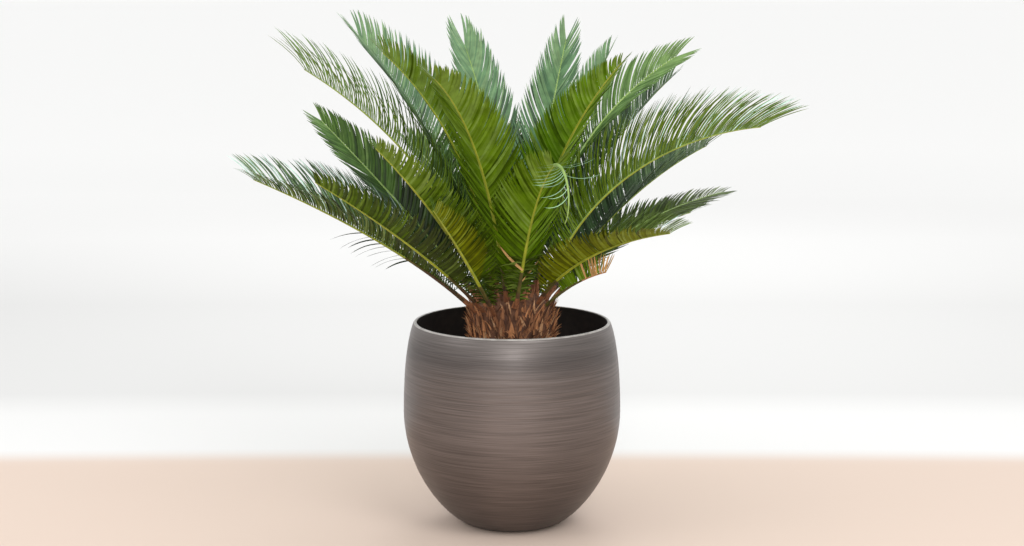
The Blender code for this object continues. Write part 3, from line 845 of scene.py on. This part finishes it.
def build_fronds():
    """Every frond's rib and leaflets, joined in groups. Returns search trees of the ribs' faces."""
    core_points, core_faces = lathe(caudex_outline(), CAUDEX_SEGMENTS)
    core_tree = tree_from(core_points, core_faces)
    seated = [(frond, seat_of(frond, core_tree)) for frond in FRONDS + (CURLED,)]
    place, along, _, _ = rib_frames(CURLED, seated[-1][1], [1.0])
    seated.append((CURLED_TIP, place[0] + along[0] * 2 * GAP))
    ribs = [rib_mesh(frond, base) for frond, base in seated]
    rib_trees = [tree_from(points, faces) for points, faces, _ in ribs]
    groups = {"left": [], "centre": [], "right": [], "back": []}
    for index, (frond, _) in enumerate(seated):
        groups[group_of(frond.name)].append(index)
    leaf = leaf_materials()
    for group, members in groups.items():
        leaves, rods = Heap(), Heap()
        for index in members:
            frond, base = seated[index]
            rng = np.random.default_rng(SEED + index)
            look = LOOKS.get(frond.name, Look())
            others = [core_tree] + [tree for k, tree in enumerate(rib_trees) if k != index]
            frond_leaflets(frond, base, look, leaves, others, rng)
            foot_leaflets(frond, base, leaves, others, rng)
            stalk_spines(frond, base, leaves, rng)
            if frond.name == HANGING_FROND:
                hanging_leaflets(frond, base, leaves, rng)
            rods.add(*ribs[index])
        names = [seated[index][0].name for index in members]
        leaves.piece(f"leaflets_{group}", leaf, names, "frond")
        rods.piece(f"ribs_{group}", RIB, names, "frond", smooth=50.0)
    return rib_trees


# Caudex


def caudex_radius_at(z):
    radii, heights = zip(*caudex_outline()[1:-1])
    return float(np.interp(z, heights, radii))


def build_core():
    """The caudex's ridged core, below its scales."""
    rough = caudex_outline()
    fine = []
    for (r0, z0), (r1, z1) in zip(rough, rough[1:]):
        steps = max(2, round(math.hypot(r1 - r0, z1 - z0) / CORE_STEP))
        fine += [(mixed(r0, r1, t / steps), mixed(z0, z1, t / steps)) for t in range(steps)]
    fine = [p for p in fine if p[0] > 0.001]
    points, faces = lathe([(0.0, CAUDEX_FOOT)] + fine + [(0.0, CROWN_TOP - 0.002)], CORE_SEGMENTS)
    for point in points:
        radius = math.hypot(point[0], point[1])
        if point[2] < CAUDEX_FOOT + 0.0005 or radius < 0.002:
            continue
        turn = math.atan2(point[1], point[0])
        where = Vector((math.cos(turn) * 5, math.sin(turn) * 5, point[2] * 40))
        ridge = noise.fractal(where, 0.6, 2.1, 4)
        point[:2] *= 0.965 + 0.022 * ridge
        point[2] = CAUDEX_FOOT + (point[2] - CAUDEX_FOOT) * (0.975 + 0.012 * ridge)
    core = Heap()
    core.add(points, faces, [0] * len(faces))
    core.piece("caudex_core", [SCALE[0]], ["caudex"], "caudex")


def scale_tone(draw, limits):
    """A scale's tone for a draw of 0 to 1, from the limits between the tones."""
    return int(np.searchsorted(limits, draw, side="right"))


# The caudex's blades are rows of a root, the directions at start and end, the direction that the
# blade faces, a length, a width and a tone.


def trunk_scales(rng):
    """Papery scales from the caudex's foot to its shoulder."""
    rows = []
    for i in range(TRUNK_SCALES):
        t = i / TRUNK_SCALES
        z = CAUDEX_FOOT + 0.002 + t * (dome(CAUDEX_RADIUS) - CAUDEX_FOOT + 0.004)
        outward = outward_at(i * GOLDEN_TURN + rng.normal(0.0, 0.05))
        tilt = np.cross(UP, outward) * rng.normal(0.0, 0.3)
        rise = mixed(0.25, 1.3, t) + rng.normal(0.0, 0.35)
        root = outward * (0.95 * caudex_radius_at(z)) + UP * z
        start = unit(outward * 0.35 + UP + tilt)
        end = unit(outward + UP * rise + tilt * 2)
        length = rng.uniform(0.014, 0.034)
        width = rng.uniform(0.0028, 0.0060)
        tone = scale_tone(rng.random(), (0.24, 0.52, 0.88))
        rows.append((root, start, end, unit(UP * 0.4 - outward), length, width, tone))
    return rows


def leaf_bases(rng, rib_trees):
    """Stubs of old stalks among the scales, where no rib is in their way."""
    rows = []
    for i in range(LEAF_BASES):
        outward = outward_at(i * GOLDEN_TURN + rng.normal(0.0, 0.06))
        z = CAUDEX_FOOT + rng.uniform(0.018, 0.058)
        root = outward * (0.94 * caudex_radius_at(z)) + UP * z
        start = unit(outward * 0.25 + UP)
        end = unit(outward * rng.uniform(0.3, 0.7) + UP)
        length = rng.uniform(0.030, 0.046)
        path = [root + start * length * share for share in (0.0, 0.3, 0.6)]
        free = free_reach(path + [root + (start + end) * length * 0.5], rib_trees)
        if free < 0.5:
            continue
        width = rng.uniform(0.0075, 0.0115)
        tone = int(rng.choice(4, p=(0.15, 0.4, 0.35, 0.1)))
        rows.append((root, start, end, unit(UP * 0.3 - outward), 0.95 * free * length, width, tone))
    return rows


def crown_bracts(rng, rib_trees):
    """Short pointed bracts on the crown, round the feet of the stalks."""
    rows = []
    for i in range(CROWN_BRACTS):
        radius = mixed(CAUDEX_RADIUS * 0.97, 0.006, (i / CROWN_BRACTS) ** 0.9)
        lean = radius / CAUDEX_RADIUS
        outward = outward_at(i * GOLDEN_TURN + 0.4)
        root = outward * radius + UP * (dome(radius) - 0.004)
        start = unit(outward * lean * 0.5 + UP)
        end = unit(outward * lean * 1.1 + UP + rng.normal(0.0, 0.12, 3))
        length = rng.uniform(0.008, 0.017)
        path = [root + start * length * share for share in (0.0, 0.2, 0.5)]
        free = free_reach(path + [path[-1] + end * length * 0.5], rib_trees)
        if free < 0.45:
            continue
        facing = unit(UP * 0.3 - outward * lean + 1e-3)
        width = rng.uniform(0.004, 0.008)
        tone = scale_tone(rng.random(), (0.3, 0.7, 0.93))
        rows.append((root, start, end, facing, 0.95 * free * length, width, tone))
    return rows


def build_caudex(rib_trees):
    """The caudex's core, scales, old leaf bases and crown bracts."""
    build_core()
    rng = np.random.default_rng(SEED + 100)
    rows = trunk_scales(rng) + leaf_bases(rng, rib_trees) + crown_bracts(rng, rib_trees)
    *geometry, tones = (np.array(column) for column in zip(*rows))
    twists = rng.normal(0.0, 14.0, len(rows))
    heap = Heap()
    blades(heap, SCALE_SHAPE, SCALE_RINGS, *geometry, twists, np.stack([tones, tones], axis=1), curl=1.4)
    heap.piece("caudex_scales", SCALE, ["caudex"], "caudex")


# Pot and soil


def bezier(start, pull, push, end, steps):
    t = (np.arange(steps) / steps)[:, None]
    start, pull, push, end = (np.array(p, dtype=float) for p in (start, pull, push, end))
    return (1 - t) ** 3 * start + 3 * (1 - t) ** 2 * t * pull + 3 * (1 - t) * t * t * push + t ** 3 * end


def pot_outline():
    lower = bezier(
        (FOOT_RADIUS, 0.0), (1.5 * FOOT_RADIUS, 0.03 * POT_HEIGHT),
        (1.022 * POT_RADIUS, 0.27 * POT_HEIGHT), (POT_RADIUS, BELLY_Z), 90,
    )
    upper = bezier(
        (POT_RADIUS, BELLY_Z), (0.997 * POT_RADIUS, 0.735 * POT_HEIGHT),
        (0.974 * POT_RADIUS, 0.905 * POT_HEIGHT), (RIM_RADIUS, POT_HEIGHT), 60,
    )
    return np.vstack([lower, upper])


def outline_side(outline):
    """The directions square to an outline, away from the axis."""
    run = unit(np.gradient(outline, axis=0))
    return np.stack([run[:, 1], -run[:, 0]], axis=1)


def build_pot():
    """The pot's wall, whose outside ripples a little, with a rounded lip."""
    outer = pot_outline()
    side = outline_side(outer)
    inner = outer - WALL * side
    rng = np.random.default_rng(SEED + 200)
    ripple = rng.normal(0.0, 0.00007, len(outer))
    ripple[:4] = 0.0
    outer = outer + side * ripple[:, None]
    lip = []
    for step in range(LIP_STEPS + 1):
        turn = math.pi * step / LIP_STEPS
        middle = RIM_RADIUS - WALL / 2
        lip.append((middle + math.cos(turn) * WALL / 2, POT_HEIGHT - LIP + math.sin(turn) * LIP))
    outer = outer[outer[:, 1] < POT_HEIGHT - LIP]
    edge = float(np.interp(FLOOR, inner[:, 1], inner[:, 0]))
    inside = [(r, z) for r, z in inner[::-1] if FLOOR + LIP < z < POT_HEIGHT - LIP]
    outline = [(0.0, 0.0)] + [tuple(p) for p in outer] + lip + inside + [(edge, FLOOR), (0.0, FLOOR)]
    points, faces = lathe(outline, POT_SEGMENTS)
    lip_start = (len(outer) + 1) * POT_SEGMENTS
    lip_end = (len(outer) + LIP_STEPS - 1) * POT_SEGMENTS
    slots = [0 if max(face) < lip_start else 2 if max(face) < lip_end else 1 for face in faces]
    heap = Heap()
    heap.add(points, faces, slots)
    inside_surface = surface("pot_inside", (30, 24, 21), (42, 34, 30), 90.0, 0.7, bump=0.3)
    # The lip is paler than the glaze: a painted highlight where the rim catches the light
    lip_painted_highlight = surface("pot_lip", (150, 146, 142), (176, 173, 169), 70.0, 0.34, bump=0.1)
    heap.piece("pot_shell", [pot_material(), inside_surface, lip_painted_highlight], ["pot"], "pot")


def build_soil():
    """The soil, which fills the pot and has a crumbly top."""
    outer = pot_outline()
    cavity = outer - WALL * outline_side(outer)
    edge_z = SOIL_TOP - SOIL_RISE
    edge = float(np.interp(edge_z, cavity[:, 1], cavity[:, 0])) - 2 * GAP
    side = [(r - 2 * GAP, z) for r, z in cavity if FLOOR + LIP < z < edge_z - LIP][::4]
    places = (0.0, CAUDEX_RADIUS, 0.75 * edge, edge)
    heights = (SOIL_TOP, SOIL_TOP, SOIL_TOP - SOIL_RISE / 3, edge_z)
    top = []
    for j in range(SOIL_RINGS + 1):
        radius = mixed(edge, 0.02, j / SOIL_RINGS)
        top.append((radius, float(np.interp(radius, places, heights))))
    outline = [(0.0, FLOOR + GAP), (side[0][0] - 0.004, FLOOR + GAP)] + side + top + [(0.0, SOIL_TOP)]
    points, faces = lathe(outline, SOIL_SEGMENTS)
    top_start = (len(side) + 1) * SOIL_SEGMENTS
    for point in points[top_start:-2]:
        x, y, _ = point
        radius = math.hypot(x, y)
        room = min(1.0, max(0.0, (edge - radius) / 0.004))
        room *= min(1.0, max(0.0, (radius - 0.068) / 0.01))
        crumble = noise.fractal(Vector((x * 90, y * 90, 0.0)), 0.8, 2.1, 4)
        point[2] += room * (0.0022 * crumble - 0.0012)
    heap = Heap()
    heap.add(points, faces, [0] * len(faces))
    dark = surface("soil_dark", (28, 20, 15), (52, 38, 28), 260.0, 0.95, bump=0.8)
    heap.piece("soil_fill", [dark], ["soil"], "soil")


# Stage, light and camera


def floor_material():
    """A floor that is beige round the plant and turns grey and white beyond, in soft bands, with a darker
    grey band behind the plant that is painted shade.
    """
    paint = Paint("floor")
    inputs = {"Vector": paint.place, "Location": (0.0, 0.25, 0.0), "Scale": (0.0375, 0.125, 0.0)}
    oval = paint.node("Mapping", inputs).outputs["Vector"]
    far = paint.node("VectorMath", {0: oval}, operation="LENGTH").outputs["Value"]
    # The darker grey band, from 0.375 to 0.51, is painted shade
    greys = ((0.311, 228), (0.350, 226), (0.375, 213), (0.51, 214), (0.66, 236), (0.80, 246))
    stops = [(position, (grey, grey, grey - 1)) for position, grey in greys]
    colour = paint.ramp(far, [(0.300, (216, 197, 183))] + stops + [(1.0, (250, 250, 249))])
    paint.feed(paint.shader, {"Base Color": colour, "Roughness": 0.75, "Specular IOR Level": 0.25})
    return paint.material


def build_floor():
    far = FLOOR_REACH
    mesh = bpy.data.meshes.new("floor")
    corners = [(-far, -far, 0), (far, -far, 0), (far, far, 0), (-far, far, 0)]
    mesh.from_pydata(corners, [], [(0, 1, 2, 3)])
    mesh.materials.append(floor_material())
    floor = bpy.data.objects.new("floor", mesh)
    bpy.context.scene.collection.objects.link(floor)


def build_light():
    """Soft white light from all round, and four round softboxes."""
    world = bpy.data.worlds.new("studio")
    world.use_nodes = True
    background = world.node_tree.nodes["Background"]
    background.inputs["Color"].default_value = (1.0, 1.0, 1.0, 1.0)
    background.inputs["Strength"].default_value = 0.98
    bpy.context.scene.world = world
    softboxes = (
        ("key", (1.3, -2.4, 2.7), 1.8, 36.0),
        ("front", (0.0, -4.6, 1.5), 0.9, 34.0),
        ("fill", (-2.6, -1.2, 1.9), 1.6, 14.0),
        ("rear", (0.4, 2.6, 2.4), 1.8, 26.0),
    )
    for name, place, width, power in softboxes:
        light = bpy.data.lights.new(name, "AREA")
        light.shape = "DISK"
        light.size = width
        light.energy = power
        lamp = bpy.data.objects.new(name, light)
        lamp.location = place
        aim = Vector(LAMP_TARGET) - Vector(place)
        lamp.rotation_euler = aim.to_track_quat("-Z", "Y").to_euler()
        bpy.context.scene.collection.objects.link(lamp)


def build_camera():
    """The camera at the photograph's viewing angle."""
    view = bpy.data.cameras.new("camera")
    view.sensor_width = SENSOR_WIDTH
    view.lens = SENSOR_WIDTH * FOCAL_LENGTH / PHOTO_WIDTH
    view.clip_end = 200.0
    camera = bpy.data.objects.new("camera", view)
    camera.location = CAMERA_PLACE
    camera.rotation_euler = (math.radians(90.0 - CAMERA_PITCH), 0.0, 0.0)
    bpy.context.scene.collection.objects.link(camera)
    bpy.context.scene.camera = camera
    bpy.context.scene.view_settings.view_transform = "Standard"


build_pot()
build_soil()
build_caudex(build_fronds())
build_floor()
build_light()
build_camera()
